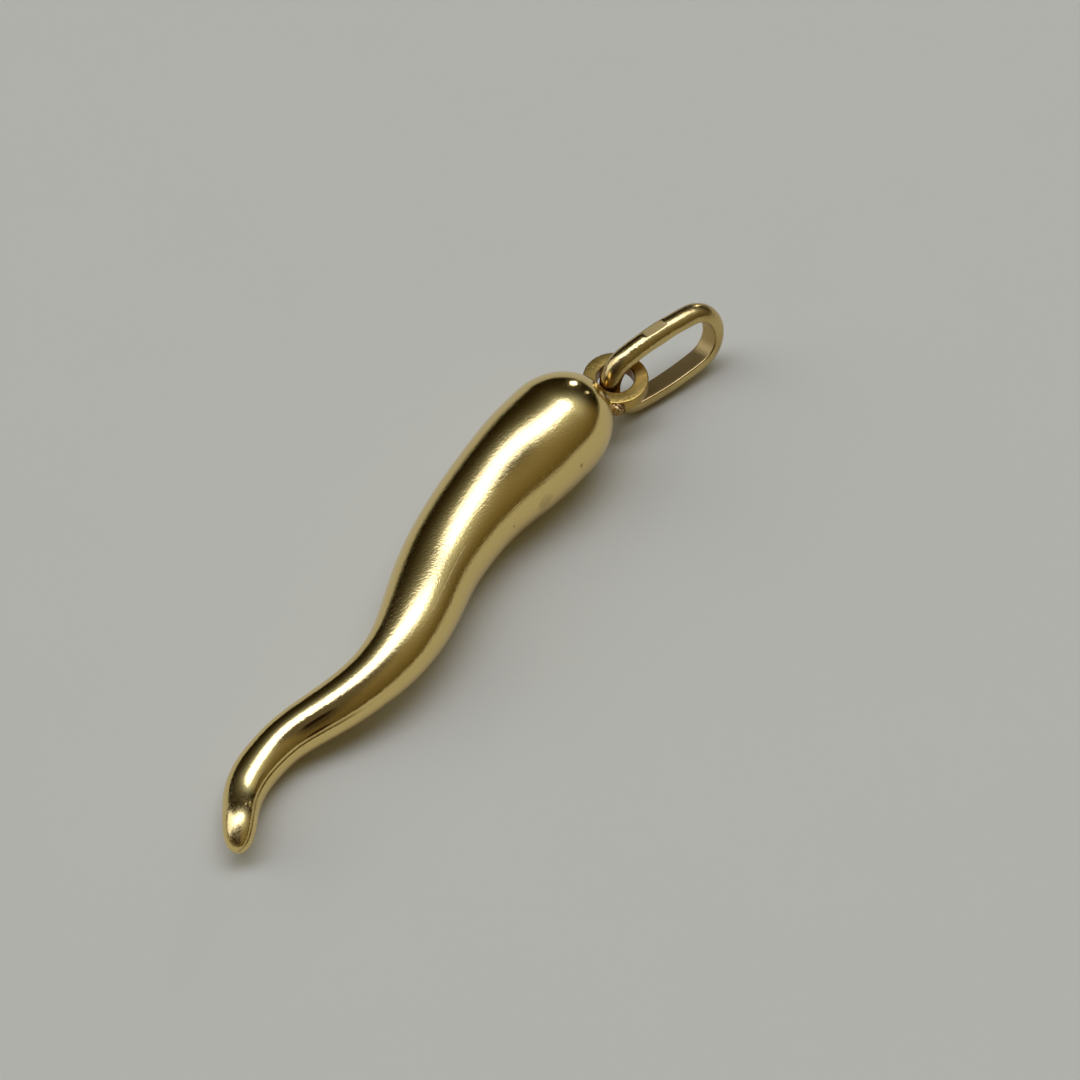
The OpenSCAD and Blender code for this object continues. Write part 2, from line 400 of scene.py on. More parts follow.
def horn_mesh(line, around, body_steps, cap_steps):
    """The horn's skin: a hoop swept from the tip to the head and closed at both ends."""
    bm = bmesh.new()
    along_layer = bm.verts.layers.float.new("along_mm")
    around_layer = bm.verts.layers.float.new("around_deg")
    seam_layer = bm.verts.layers.float.new("seam_mm")
    hoop = bmesh.ops.create_circle(bm, segments=around, radius=1.0)["verts"]
    for v in hoop:
        v[around_layer] = math.degrees(math.atan2(v.co.y, v.co.x))
    edges = list(bm.edges)
    hoops = []
    for ring in line.rings(body_steps, cap_steps):
        if hoops:
            edges, hoop = next_hoop(bm, edges)
        hoops.append(hoop)
        for v in hoop:
            v[along_layer] = ring["along"] / MM
            angle = math.radians(v[around_layer])
            v[seam_layer] = line.seam_gap(ring, angle) / MM
            v.co = line.centre(ring) + line.outward(ring, angle) * skin_radius(line, ring, angle)
    for end in (hoops[0], hoops[-1]):
        bmesh.ops.pointmerge(bm, verts=end, merge_co=end[0].co.copy())
    return bm


def skin_radius(line, ring, angle):
    """Radius of the skin, with the unevenness of hand polishing and the line of the seam."""
    sizes, r = line.sizes, ring["r"]
    spot = line.centre(ring) + line.outward(ring, angle) * r
    calm = smooth(0.0, WAVE_FULL_R * MM, r)
    short = noise.noise(spot / (WAVE_SHORT * MM) + Vector(SHORT_SHIFT))
    wave = noise.noise(spot / (WAVE_LONG * MM)) + SHORT_SHARE * short
    out = r - sizes.waviness * (WAVE_DEPTH + WAVE_SWING * wave) * calm
    gap = line.seam_gap(ring, angle) / sizes.seam_width
    fade = 1 - smooth(*GROOVE_END, ring["along"] / line.length)
    fade *= smooth(0.0, GROOVE_FULL_R * MM, r)
    return out - sizes.seam_depth * fade * math.exp(-gap * gap)


def washer_mesh(sizes, centre, steps):
    """A flat ring with rounded edges."""
    bm = bmesh.new()
    inner, outer = sizes.eyelet_hole_d / 2, sizes.eyelet_d / 2
    low, high = centre.z - sizes.eyelet_t / 2, centre.z + sizes.eyelet_t / 2
    corners = [bm.verts.new((centre.x + r, centre.y, z))
               for r, z in ((inner, low), (outer, low), (outer, high), (inner, high))]
    for a, b in zip(corners, corners[1:] + corners[:1]):
        bm.edges.new((a, b))
    bmesh.ops.spin(bm, geom=bm.verts[:] + bm.edges[:], cent=centre, axis=(0, 0, 1), angle=TURN,
                   steps=steps, use_merge=True)
    bmesh.ops.recalc_face_normals(bm, faces=bm.faces)
    between = (inner + outer) / 2
    for way, rounding in ((1, sizes.edge_r), (-1, sizes.hole_edge_r)):
        rims = [e for e in bm.edges
                if len(e.link_faces) == 2 and e.calc_face_angle() > RIM_ANGLE
                and way * ((e.verts[0].co - centre).to_2d().length - between) > 0]
        bmesh.ops.bevel(bm, geom=rims, offset=rounding, offset_type="OFFSET", segments=RIM_STEPS,
                        profile=0.5, affect="EDGES", material=-1)
    return bm


def solder_mesh(place, half, shift):
    """A rough lump of solder with its three half sizes; the shift makes its bumps its own."""
    bm = bmesh.new()
    bmesh.ops.create_icosphere(bm, subdivisions=SOLDER_LEVELS, radius=1.0)
    for v in bm.verts:
        at = v.co + Vector((0, shift / MM, 0))
        v.co *= 1 + sum(depth * noise.noise(at * rate) for depth, rate in SOLDER_BUMPS)
    bmesh.ops.transform(bm, matrix=place @ Matrix.Diagonal((*half, 1)), verts=bm.verts)
    return bm


def wire_profile(sizes, arc_steps, corner_steps, flat_steps):
    """Half-round section: [distance out from the opening, across], closed, with rounded corners."""
    r, c = sizes.wire_w / 2, sizes.corner_r
    web = sizes.wire_t - r
    half = [(c - c * math.cos(a), r - c + c * math.sin(a))
            for a in (math.pi / 2 * k / corner_steps for k in range(corner_steps + 1))]
    half += [(web + r * math.sin(a), r * math.cos(a))
             for a in (math.pi / 2 * k / arc_steps for k in range(arc_steps))]
    flat = [(0.0, (r - c) * k / flat_steps) for k in range(flat_steps)]
    upper = flat + half + [(sizes.wire_t, 0.0)]
    return upper + [(x, -y) for x, y in reversed(upper[1:-1])]


def bail_mesh(sizes, end_steps, side_steps):
    """The oval link, lying flat with its length along X, made of four arcs."""
    half_l, half_w = sizes.inner_l / 2, sizes.inner_w / 2
    end_x = half_l - sizes.end_r
    side_r = (end_x ** 2 + half_w ** 2 - sizes.end_r ** 2) / (2 * (half_w - sizes.end_r))
    side_y = side_r - half_w
    side_angle = math.atan(end_x / side_y)
    end_half = math.pi / 2 - side_angle
    bm = bmesh.new()
    start = Vector((math.cos(end_half), -math.sin(end_half), 0))
    middle = Vector((end_x, 0, 0))
    verts = [bm.verts.new(middle + start * (sizes.end_r + out) + Vector((0, 0, across)))
             for out, across in wire_profile(sizes, *WIRE_STEPS)]
    for a, b in zip(verts, verts[1:] + verts[:1]):
        bm.edges.new((a, b))
    geom = bm.verts[:] + bm.edges[:]
    arcs = (((end_x, 0), 2 * end_half, end_steps), ((0, -side_y), 2 * side_angle, side_steps),
            ((-end_x, 0), 2 * end_half, end_steps), ((0, side_y), 2 * side_angle, side_steps))
    for (x, y), angle, steps in arcs:
        geom = bmesh.ops.spin(bm, geom=geom, cent=(x, y, 0), axis=(0, 0, 1), angle=angle,
                              steps=steps)["geom_last"]
    bmesh.ops.remove_doubles(bm, verts=bm.verts, dist=JOIN_GAP * MM)
    bmesh.ops.recalc_face_normals(bm, faces=bm.faces)
    bm.normal_update()
    inner_layer = bm.verts.layers.float.new("inner_face")
    for v in bm.verts:
        nearest = Vector((min(max(v.co.x, -end_x), end_x), 0, 0))
        outward = Vector((v.co.x - nearest.x, v.co.y, 0)).normalized()
        v[inner_layer] = smooth(*INNER_SIDE, -v.normal.dot(outward))
    press_flat(bm, sizes, half_w)
    return bm


def press_flat(bm, sizes, half_w):
    """The small flat on the crown of the upper strand, and the wire's bulge behind it."""
    crown = half_w + sizes.wire_t
    pressed_layer = bm.verts.layers.float.new("pressed")
    for v in bm.verts:
        off = abs(v.co.x) / (sizes.flat_l / 2)
        near = 1 - smooth(*FLAT_END, off)
        if v.co.y <= 0 or near <= 0:
            continue
        depth = max(v.co.y - (crown - sizes.flat_depth), 0.0)
        v.co.y -= depth * near
        v[pressed_layer] = near * smooth(0.0, BARE_SHARE * sizes.flat_depth, depth)
        if v.co.y < half_w + BULGE_SHARE * sizes.wire_t:
            v.co.y -= sizes.bulge * (1 - smooth(0.0, BULGE_REACH, off))


# Materials

# Grain of each metal: sizes of its pits and its ripples in millimetres, and the ripples' share
HORN_GRAIN = {"Pit_Size": 0.09, "Ripple_Size": 0.5, "Ripple_Share": 0.3}
WIRE_GRAIN = {"Pit_Size": 0.12, "Ripple_Size": 0.6, "Ripple_Share": 2.2}
EYELET_GRAIN = {"Pit_Size": 0.1, "Ripple_Size": 0.35, "Ripple_Share": 1.0}
SOLDER_GRAIN = {"Pit_Size": 0.1, "Ripple_Size": 0.3, "Ripple_Share": 1.2}
PATCHES_PER_MM = 0.55

# Four numbers spread a value: between the first two of it, the result goes from the third to the
# fourth. Roughness of each metal in shares of its finish, and of the solder
HORN_WEAR = (0.35, 0.65, 0.7, 1.5)
WIRE_WEAR = (0.3, 0.7, 1.4, 2.4)
EYELET_WEAR = (0.3, 0.7, 0.8, 1.2)
SOLDER_WEAR = (0.0, 1.0, 0.5, 0.22)

# Brown line in the seam: millimetres beside it and from the tip where it comes in, and its patches
SEAM_LINE, SEAM_REACH = (0.08, 0.02), (11.0, 8.0)
SEAM_PATCHES = (0.4, 0.65, 0.05, 0.7)
# Marks: softness of their rims, ragged places to a millimetre, patches of the scratch, roughness,
# brown, and depth in depths of the grain
TINT_SOFT, SMUDGE_SOFT, NICK_SOFT, FILED_SOFT = 0.8, 0.5, 0.4, 0.25
RAGGED_PER_MM = 3.0
SCRATCH_PATCHES = (0.35, 0.6, 0.25, 1.0)
SCRATCH_ROUGH, SMUDGE_ROUGH = 0.3, 0.2
NICK_BROWN, FILED_BROWN = 0.6, 0.4
CUT_DEPTH, FILED_DEPTH = 1.5, 1.1
# By millimetres from the tip: the tip is rougher, and tip and head have less grain
TIP_WEAR = (0.8, 2.4, 1.9, 1.0)
TIP_GRAIN = (4.0, 13.0, 0.4, 1.0)
HEAD_GRAIN = (20.5, 24.5, 1.0, 0.35)

# Bail: its gold against the horn's, its patches, and the reach in millimetres of its place in the
# eyelet, where it gets painted shade
WIRE_SHADE = 0.82
WIRE_PATCHES = (0.42, 0.72, 0.1, 0.55)
EYELET_SHADE_REACH = (0.75, 1.3)
# Painted shade as brown, and roughness, of that place in the eyelet and of the wire's inner side,
# and roughness of its flat
EYELET_SHADE_BROWN, INNER_SHADE_BROWN = 0.35, 0.4
IN_EYELET_ROUGH, INNER_ROUGH, PRESSED_ROUGH = 0.2, 0.45, 0.6

# Eyelet: its patches, the brown tarnish and painted shade in its hole and the millimetres over which
# that fades outside, and its grain against the horn's
EYELET_PATCHES = (0.35, 0.7, 0.2, 0.65)
HOLE_TARNISH_AND_SHADE, HOLE_FADE = 0.9, (0.01, 0.1)
EYELET_DEPTH = 0.8
# Solder: heights of the grain from brown to bright, and its depth in millimetres
SOLDER_SPOTS = (0.8, 1.2)
SOLDER_DEPTH = 0.04
# Floor: roughness, gloss, its darker patches against its colour, and how many to a millimetre
FLOOR_ROUGH, FLOOR_GLOSS = 0.9, 0.1
FLOOR_DARK, FLOOR_PATCHES_PER_MM = 0.985, 0.15


class Nodes:
    """Short ways to add nodes and links to a tree."""

    def __init__(self, tree):
        self.tree = tree

    def add(self, kind, settings=None, **sockets):
        """A node with its settings and inputs, with _ for each blank in an input's name."""
        node = self.tree.nodes.new(kind)
        for key, value in (settings or {}).items():
            setattr(node, key, value)
        for key, value in sockets.items():
            self.feed(node.inputs[key.replace("_", " ")], value)
        return node

    def feed(self, socket, value):
        """Links an input to a socket or a node, or gives it a plain value."""
        if isinstance(value, bpy.types.NodeSocket):
            self.tree.links.new(value, socket)
        elif isinstance(value, bpy.types.Node):
            self.tree.links.new(value.outputs[0], socket)
        else:
            socket.default_value = value

    def math(self, operation, a, b=0.5, clamp=False):
        node = self.tree.nodes.new("ShaderNodeMath")
        node.operation, node.use_clamp = operation, clamp
        self.feed(node.inputs[0], a)
        self.feed(node.inputs[1], b)
        return node.outputs[0]

    def times(self, a, b):
        return self.math("MULTIPLY", a, b)

    def over(self, a, b):
        return self.math("DIVIDE", a, b)

    def plus(self, a, b):
        return self.math("ADD", a, b)

    def minus(self, a, b):
        return self.math("SUBTRACT", a, b)

    def vector(self, operation, a, b=(0.0, 0.0, 0.0)):
        node = self.add("ShaderNodeVectorMath", {"operation": operation})
        self.feed(node.inputs[0], a)
        self.feed(node.inputs[1], b)
        return node.outputs

    def spread(self, value, low, high, to_low=0.0, to_high=1.0, kind="SMOOTHSTEP"):
        """Spreads a value between low and high over another range."""
        node = self.tree.nodes.new("ShaderNodeMapRange")
        node.interpolation_type = kind
        for key, v in (("Value", value), ("From Min", low), ("From Max", high),
                       ("To Min", to_low), ("To Max", to_high)):
            self.feed(node.inputs[key], v)
        return node.outputs[0]

    def blend(self, share, a, b, kind="MIX"):
        """Colour a at share 0 and b at share 1."""
        node = self.add("ShaderNodeMix", {"data_type": "RGBA", "blend_type": kind})
        self.feed(node.inputs[0], share)
        for socket, colour in ((node.inputs[6], a), (node.inputs[7], b)):
            linked = isinstance(colour, bpy.types.NodeSocket)
            self.feed(socket, colour if linked else (*colour, 1.0))
        return node.outputs[2]


def new_group(name, inputs, outputs):
    """An empty node group. Its inputs are numbers with a default, or vectors without one."""
    group = bpy.data.node_groups.new(name, "ShaderNodeTree")
    for title, default in inputs.items():
        kind = "NodeSocketVector" if default is None else "NodeSocketFloat"
        socket = group.interface.new_socket(name=title, in_out="INPUT", socket_type=kind)
        if default is not None:
            socket.default_value = default
    for title in outputs:
        group.interface.new_socket(name=title, in_out="OUTPUT", socket_type="NodeSocketFloat")
    n = Nodes(group)
    return n, n.add("NodeGroupInput").outputs, n.add("NodeGroupOutput").inputs


def mottled(n, position, scale, detail, roughness=0.5):
    """A noise from 0 to 1, with so many places to a metre."""
    return n.add("ShaderNodeTexNoise", Vector=position, Scale=scale, Detail=detail,
                 Roughness=roughness).outputs[0]


def grain_group():
    """Fine unevenness of worn metal: small pits and soft ripples, with sizes in millimetres."""
    n, g, out = new_group(
        "metal grain",
        {"Position": None, "Pit Size": 0.2, "Ripple Size": 0.9, "Ripple Share": 0.5},
        ("Height", "Speckle", "Patches"))
    pits = mottled(n, g["Position"], n.over(1 / MM, g["Pit Size"]), 2.5, 0.6)
    ripples = mottled(n, g["Position"], n.over(1 / MM, g["Ripple Size"]), 1.5)
    patches = mottled(n, g["Position"], PATCHES_PER_MM / MM, 3.0)
    share = n.times(ripples, g["Ripple Share"])
    n.feed(out["Height"], n.plus(pits, share))
    n.feed(out["Speckle"], pits)
    n.feed(out["Patches"], patches)
    return n.tree


def scratch_group():
    """A straight scratch between two places: 1 on its line and 0 beside it."""
    n, g, out = new_group(
        "scratch",
        {"Along": 0, "Across": 0, "Along 1": 0, "Across 1": 0, "Along 2": 0, "Across 2": 0,
         "Half Width": 0.02},
        ("Mask",))
    dx, dy = (n.minus(g[way + " 2"], g[way + " 1"]) for way in ("Along", "Across"))
    px, py = (n.minus(g[way], g[way + " 1"]) for way in ("Along", "Across"))
    dot = n.plus(n.times(px, dx), n.times(py, dy))
    size = n.plus(n.times(dx, dx), n.times(dy, dy))
    t = n.math("DIVIDE", dot, size, clamp=True)
    ex = n.minus(px, n.times(dx, t))
    ey = n.minus(py, n.times(dy, t))
    far = n.math("SQRT", n.plus(n.times(ex, ex), n.times(ey, ey)))
    n.feed(out["Mask"], n.spread(far, g["Half Width"], 0.0))
    return n.tree


def spot_group():
    """An oval spot with a soft, uneven rim: 1 inside and 0 outside."""
    n, g, out = new_group(
        "spot",
        {"Along": 0, "Around": 0, "Centre Along": 0, "Centre Around": 0, "Half Length": 1,
         "Half Width": 1, "Ragged": 0.5, "Softness": 0.5},
        ("Mask",))
    x = n.over(n.minus(g["Along"], g["Centre Along"]), g["Half Length"])
    y = n.over(n.minus(g["Around"], g["Centre Around"]), g["Half Width"])
    far = n.math("SQRT", n.plus(n.times(x, x), n.times(y, y)))
    shift = n.times(n.minus(g["Ragged"], 0.5), g["Softness"])
    outer, inner = n.plus(g["Softness"], 1.0), n.minus(1.0, g["Softness"])
    n.feed(out["Mask"], n.spread(n.plus(far, shift), outer, inner))
    return n.tree


def place_group():
    """Nearness to a place: 1 closer than Near, 0 beyond Far; Height Share 0 leaves height out."""
    n, g, out = new_group(
        "near a place",
        {"Position": None, "Place": None, "Height Share": 1.0, "Near": 0.0, "Far": 1.0},
        ("Mask",))
    offset = n.vector("SUBTRACT", g["Position"], g["Place"])["Vector"]
    x, y, z = n.add("ShaderNodeSeparateXYZ", Vector=offset).outputs
    flat = n.add("ShaderNodeCombineXYZ", X=x, Y=y, Z=n.times(z, g["Height Share"]))
    reach = n.vector("LENGTH", flat)["Value"]
    n.feed(out["Mask"], n.spread(reach, g["Far"], g["Near"]))
    return n.tree


SHARED_GROUPS = {"metal grain": grain_group, "scratch": scratch_group, "spot": spot_group,
                 "near a place": place_group}


def group_node(n, name, **sockets):
    """A shared group, made when it is first needed, with this material's own values."""
    tree = bpy.data.node_groups.get(name) or SHARED_GROUPS[name]()
    return n.add("ShaderNodeGroup", {"node_tree": tree}, **sockets)


def mesh_value(n, name):
    """A value that the mesh holds at its vertices."""
    return n.add("ShaderNodeAttribute", {"attribute_name": name}).outputs["Fac"]


def new_material(name):
    """A material with a metal shader, its nodes and the position on the piece."""
    material = bpy.data.materials.new(name)
    material.use_nodes = True
    n = Nodes(material.node_tree)
    n.tree.nodes.clear()
    shader = n.add("ShaderNodeBsdfPrincipled", Metallic=1.0)
    n.add("ShaderNodeOutputMaterial", Surface=shader)
    position = n.add("ShaderNodeTexCoord").outputs["Object"]
    return material, n, shader, position


def dress(n, shader, colour, roughness, height, depth):
    """Feeds the shader; depth is how deep the height from 0 to 1 goes."""
    n.feed(shader.inputs["Base Color"], colour)
    n.feed(shader.inputs["Roughness"], roughness)
    bump = n.add("ShaderNodeBump", Strength=1.0, Distance=depth, Height=height)
    n.feed(shader.inputs["Normal"], bump)


def most(n, values):
    """The highest of several masks."""
    top = values[0]
    for value in values[1:]:
        top = n.math("MAXIMUM", top, value)
    return top


def wear(n, value, low, high, least, greatest, roughness=1.0):
    """Roughness that a value from low to high spreads over two shares of the finish."""
    return n.spread(value, low, high, least * roughness, greatest * roughness, "LINEAR")


def horn_gold(finish):
    """Polished gold with a fine grain, a brown line in the seam, smudges, a scratch and nicks."""
    material, n, shader, position = new_material("polished gold")
    grain = group_node(n, "metal grain", Position=position, **HORN_GRAIN)
    along, around = mesh_value(n, "along_mm"), mesh_value(n, "around_deg")
    ragged = mottled(n, position, RAGGED_PER_MM / MM, 2.0)

    def spot(along_0, around_0, half_length, half_width, softness):
        return group_node(n, "spot", Along=along, Around=around, Centre_Along=along_0,
                          Centre_Around=around_0, Half_Length=half_length, Half_Width=half_width,
                          Ragged=ragged, Softness=softness).outputs[0]

    beside = n.math("ABSOLUTE", mesh_value(n, "seam_mm"))
    seam = n.times(n.spread(beside, *SEAM_LINE), n.spread(along, *SEAM_REACH))
    seam = n.times(seam, n.spread(grain.outputs["Patches"], *SEAM_PATCHES))
    tint = n.times(spot(*TINT[:4], TINT_SOFT), TINT[4])
    smudges = most(n, [n.times(spot(*row[:4], SMUDGE_SOFT), row[4]) for row in SMUDGES])
    nicks = most(n, [spot(*row, NICK_SOFT) for row in NICKS])
    scratch = group_node(
        n, "scratch", Along=along, Across=n.times(around, MM_PER_DEGREE),
        Along_1=SCRATCH[0], Across_1=SCRATCH[1] * MM_PER_DEGREE, Along_2=SCRATCH[2],
        Across_2=SCRATCH[3] * MM_PER_DEGREE, Half_Width=SCRATCH[4]).outputs[0]
    scratch = n.times(scratch, n.spread(ragged, *SCRATCH_PATCHES))
    lines = n.math("SINE", n.times(along, TURN / FILE_SPACING))
    filed = n.times(spot(*FILE_MARKS, FILED_SOFT), lines)

    worn = wear(n, grain.outputs["Speckle"], *HORN_WEAR, finish.polish)
    roughness = most(n, [n.times(worn, n.spread(along, *TIP_WEAR)),
                         n.times(scratch, SCRATCH_ROUGH), n.times(smudges, SMUDGE_ROUGH)])
    height = n.times(grain.outputs["Height"], n.spread(along, *TIP_GRAIN))
    height = n.times(height, n.spread(along, *HEAD_GRAIN))
    height = n.plus(height, n.times(filed, FILED_DEPTH))
    height = n.minus(height, n.times(n.plus(scratch, nicks), CUT_DEPTH))
    film = most(n, [seam, tint, n.times(filed, FILED_BROWN)])
    gold = n.blend(film, finish.gold, finish.film)
    brown = most(n, [smudges, n.times(nicks, NICK_BROWN)])
    gold = n.blend(brown, gold, finish.tarnish)
    dress(n, shader, gold, roughness, height, finish.grain)
    return material


def bail_gold(finish, eyelet_middle):
    """Drawn gold wire: duller on its flat inner side and where pressed, with painted shade in brown
    on its flat inner side and where it passes through the eyelet.
    """
    material, n, shader, position = new_material("polished gold wire")
    grain = group_node(n, "metal grain", Position=position, **WIRE_GRAIN)
    patches = grain.outputs["Patches"]
    # Where the wire passes through the eyelet it gets painted shade in brown, and more roughness
    near, far = (gap * MM for gap in EYELET_SHADE_REACH)
    rubbed = group_node(n, "near a place", Position=position, Place=tuple(eyelet_middle),
                        Near=near, Far=far).outputs[0]
    inner, pressed = mesh_value(n, "inner_face"), mesh_value(n, "pressed")
    # Brown film in patches, and painted shade on the wire's inner side and in the eyelet
    film = most(n, [n.spread(patches, *WIRE_PATCHES), n.times(rubbed, EYELET_SHADE_BROWN),
                    n.times(inner, INNER_SHADE_BROWN)])
    film = n.times(film, n.minus(1.0, pressed))
    gold = n.blend(film, [WIRE_SHADE * c for c in finish.gold], finish.film)
    roughness = most(n, [wear(n, patches, *WIRE_WEAR, finish.polish),
                         n.times(rubbed, IN_EYELET_ROUGH), n.times(inner, INNER_ROUGH),
                         n.times(pressed, PRESSED_ROUGH)])
    dress(n, shader, gold, roughness, grain.outputs["Height"], finish.grain)
    return material


def eyelet_gold(finish, middle, hole_r):
    """Gold rubbed dull on its faces, with brown tarnish and painted shade inside its hole."""
    material, n, shader, position = new_material("satin gold")
    grain = group_node(n, "metal grain", Position=position, **EYELET_GRAIN)
    patches = grain.outputs["Patches"]
    # Inside the hole: brown tarnish with painted shade
    near, far = (hole_r + gap * MM for gap in HOLE_FADE)
    hole_tarnish_and_shade = group_node(n, "near a place", Position=position, Place=tuple(middle),
                             Height_Share=0.0, Near=near, Far=far).outputs[0]
    gold = n.blend(n.spread(patches, *EYELET_PATCHES), finish.dull, finish.film)
    gold = n.blend(n.times(hole_tarnish_and_shade, HOLE_TARNISH_AND_SHADE), gold, finish.tarnish)
    roughness = wear(n, patches, *EYELET_WEAR, finish.satin)
    dress(n, shader, gold, roughness, grain.outputs["Height"], EYELET_DEPTH * finish.grain)
    return material


def solder_metal(finish):
    """Rough solder with brown in its hollows."""
    material, n, shader, position = new_material("rough solder")
    grain = group_node(n, "metal grain", Position=position, **SOLDER_GRAIN)
    spots = n.spread(grain.outputs["Height"], *SOLDER_SPOTS)
    colour = n.blend(spots, finish.tarnish, finish.solder)
    dress(n, shader, colour, wear(n, spots, *SOLDER_WEAR), grain.outputs["Height"],
          SOLDER_DEPTH * MM)
    return material


def floor_paint(stage):
    """Matt pale paint, a little uneven."""
    material, n, shader, position = new_material("pale floor")
    shader.inputs["Metallic"].default_value = 0.0
    shader.inputs["Roughness"].default_value = FLOOR_ROUGH
    shader.inputs["Specular IOR Level"].default_value = FLOOR_GLOSS
    patches = mottled(n, position, FLOOR_PATCHES_PER_MM / MM, 3.0)
    paint = n.blend(patches, stage.floor, [FLOOR_DARK * c for c in stage.floor])
    n.feed(shader.inputs["Base Color"], paint)
    return material


# Operators

def sizes_of(context):
    """The panel's settings for horn, eyelet, bail and finish."""
    scene = context.scene
    return (scene.horn_charm_horn, scene.horn_charm_eyelet, scene.horn_charm_bail,
            scene.horn_charm_finish)


def eyelet_place(horn, eyelet):
    """Middle of the eyelet, and its direction from the head."""
    way = Vector((math.cos(eyelet.eyelet_turn), math.sin(eyelet.eyelet_turn), 0))
    middle = HornLine(horn).head_end() + way * (eyelet.eyelet_d / 2 - eyelet.eyelet_set_in)
    middle.z = eyelet.eyelet_top - eyelet.eyelet_t / 2
    return middle, way


class HORNCHARM_OT_horn(bpy.types.Operator):
    """Builds the horn"""

    bl_idname = "horn_charm.horn"
    bl_label = "Horn"

    def execute(self, context):
        horn, _, _, finish = sizes_of(context)
        bm = horn_mesh(HornLine(horn), *HORN_STEPS)
        settle(finished(bm, "horn_body", horn_gold(finish)), "horn")
        return {"FINISHED"}


class HORNCHARM_OT_eyelet(bpy.types.Operator):
    """Builds the washer-shaped eyelet and the solder that holds it"""

    bl_idname = "horn_charm.eyelet"
    bl_label = "Eyelet and solder"

    def execute(self, context):
        horn, eyelet, _, finish = sizes_of(context)
        middle, way = eyelet_place(horn, eyelet)
        bm = washer_mesh(eyelet, middle, WASHER_STEPS)
        dull = eyelet_gold(finish, middle, eyelet.eyelet_hole_d / 2)
        settle(finished(bm, "eyelet_washer", dull), "horn")
        turned = Matrix.Translation(middle) @ Matrix.Rotation(math.atan2(way.y, way.x), 4, "Z")
        metal = solder_metal(finish)
        for name, *row in SOLDER_LUMPS:
            off, half = Vector(row[:3]) * MM, Vector(row[3:]) * MM
            bm = solder_mesh(turned @ Matrix.Translation(off), half, off.y)
            settle(finished(bm, name, metal), "horn")
        return {"FINISHED"}


class HORNCHARM_OT_bail(bpy.types.Operator):
    """Builds the oval bail of half-round wire"""

    bl_idname = "horn_charm.bail"
    bl_label = "Bail"

    def execute(self, context):
        horn, eyelet, bail, finish = sizes_of(context)
        middle, _ = eyelet_place(horn, eyelet)
        bm = bail_mesh(bail, *BAIL_STEPS)
        turned = (Matrix.Rotation(bail.bail_turn, 4, "Z") @ Matrix.Rotation(-bail.bail_rise, 4, "Y")
                  @ Matrix.Rotation(math.pi / 2 - bail.bail_lean, 4, "X"))
        bmesh.ops.transform(bm, matrix=turned, verts=bm.verts)
        low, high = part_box("bail")
        for axis in range(3):
            values = [v.co[axis] for v in bm.verts]
            shift = Vector((0, 0, 0))
            shift[axis] = (low[axis] + high[axis] - min(values) - max(values)) / 2
            bmesh.ops.translate(bm, vec=shift, verts=bm.verts)
        settle(finished(bm, "bail_link", bail_gold(finish, middle)), "bail")
        return {"FINISHED"}


# The room as the metal mirrors it. A direction is flat-mapped round straight up, in degrees to the
# right of the camera's direction and in degrees ahead of it.
# Soft overhead lamp: its middle to the right and ahead, half length, half width and turn; then how
# square its corners are, how soft its rim is and its light
LAMP_MIDDLE = (-2.8, 10.1)
LAMP_HALF = (34.4, 13.4)
LAMP_TURN = 12.6
LAMP_CORNERS = 3.2
LAMP_RIM = 0.09
LAMP_LIGHT = (2.85, 3.05, 4.3)

# Pale ceiling round the lamp: its light at the lamp's rim and the degrees over which it fades, then
# the bearings and the heights between which it comes in
GLOW_LIGHT = (0.58, 0.68, 0.78)
GLOW_FADE = 12.0
GLOW_BEARINGS = (140.0, 80.0)
GLOW_HEIGHTS = (8.0, 45.0)

# Window on the left: bearings right of the camera's direction, heights, width of its rim, light
WINDOW_BEARINGS = (-102.0, -56.0)
WINDOW_HEIGHTS = (12.0, 78.0)
WINDOW_RIM = 6.0
WINDOW_LIGHT = (1.3, 1.4, 1.8)

# Small round lamps: degrees right of the camera's direction, degrees above the floor, half width in
# degrees and brightness, and how many metres away they hang
SMALL_LAMPS = (
    ("small lamp", 18.0, 15.0, 3.2, 18.0),
    ("far small lamp", 40.6, 15.0, 1.6, 2.6),
)
LAMP_GAP = 0.6

# Light of the room's walls by degrees above the floor, ahead of the camera and behind it
ROOM_AHEAD = (
    (0.0, (0.010, 0.007, 0.001)),
    (18.0, (0.017, 0.012, 0.003)),
    (35.0, (0.035, 0.028, 0.012)),
    (60.0, (0.070, 0.060, 0.035)),
)
ROOM_BEHIND = (
    (0.0, (0.085, 0.064, 0.022)),
    (16.0, (0.150, 0.120, 0.060)),
    (40.0, (0.215, 0.182, 0.110)),
    (62.0, (0.240, 0.210, 0.140)),
)
# The dark place behind the camera on the left
ROOM_SHADED = (
    (0.0, (0.150, 0.120, 0.080)),
    (16.0, (0.110, 0.085, 0.050)),
    (36.0, (0.016, 0.009, 0.002)),
    (60.0, (0.105, 0.095, 0.080)),
)
# How far ahead and to the right a direction goes where one wall's light gives way to the next
AHEAD_BLEND, SHADED_BLEND = (0.25, 0.6), (0.5, 0.15)
# What the camera sees past the floor, half the floor's width and the camera's range in metres
BACKDROP = (0.5, 0.5, 0.48)
FLOOR_HALF = 1.5
CAMERA_RANGE = (0.002, 10.0)


def camera_axes(stage):
    """Aim point, level direction the camera looks in, and the level direction to its right."""
    aim = Vector((stage.aim_x, stage.aim_y, 0))
    ahead = Vector((math.cos(stage.camera_turn), math.sin(stage.camera_turn), 0))
    return aim, ahead, Vector((ahead.y, -ahead.x, 0))


def facing(piece_at, target):
    """Turns -Z to the target, with +Y as near to up as it can be."""
    return (target - piece_at).to_track_quat("-Z", "Y").to_matrix().to_4x4()


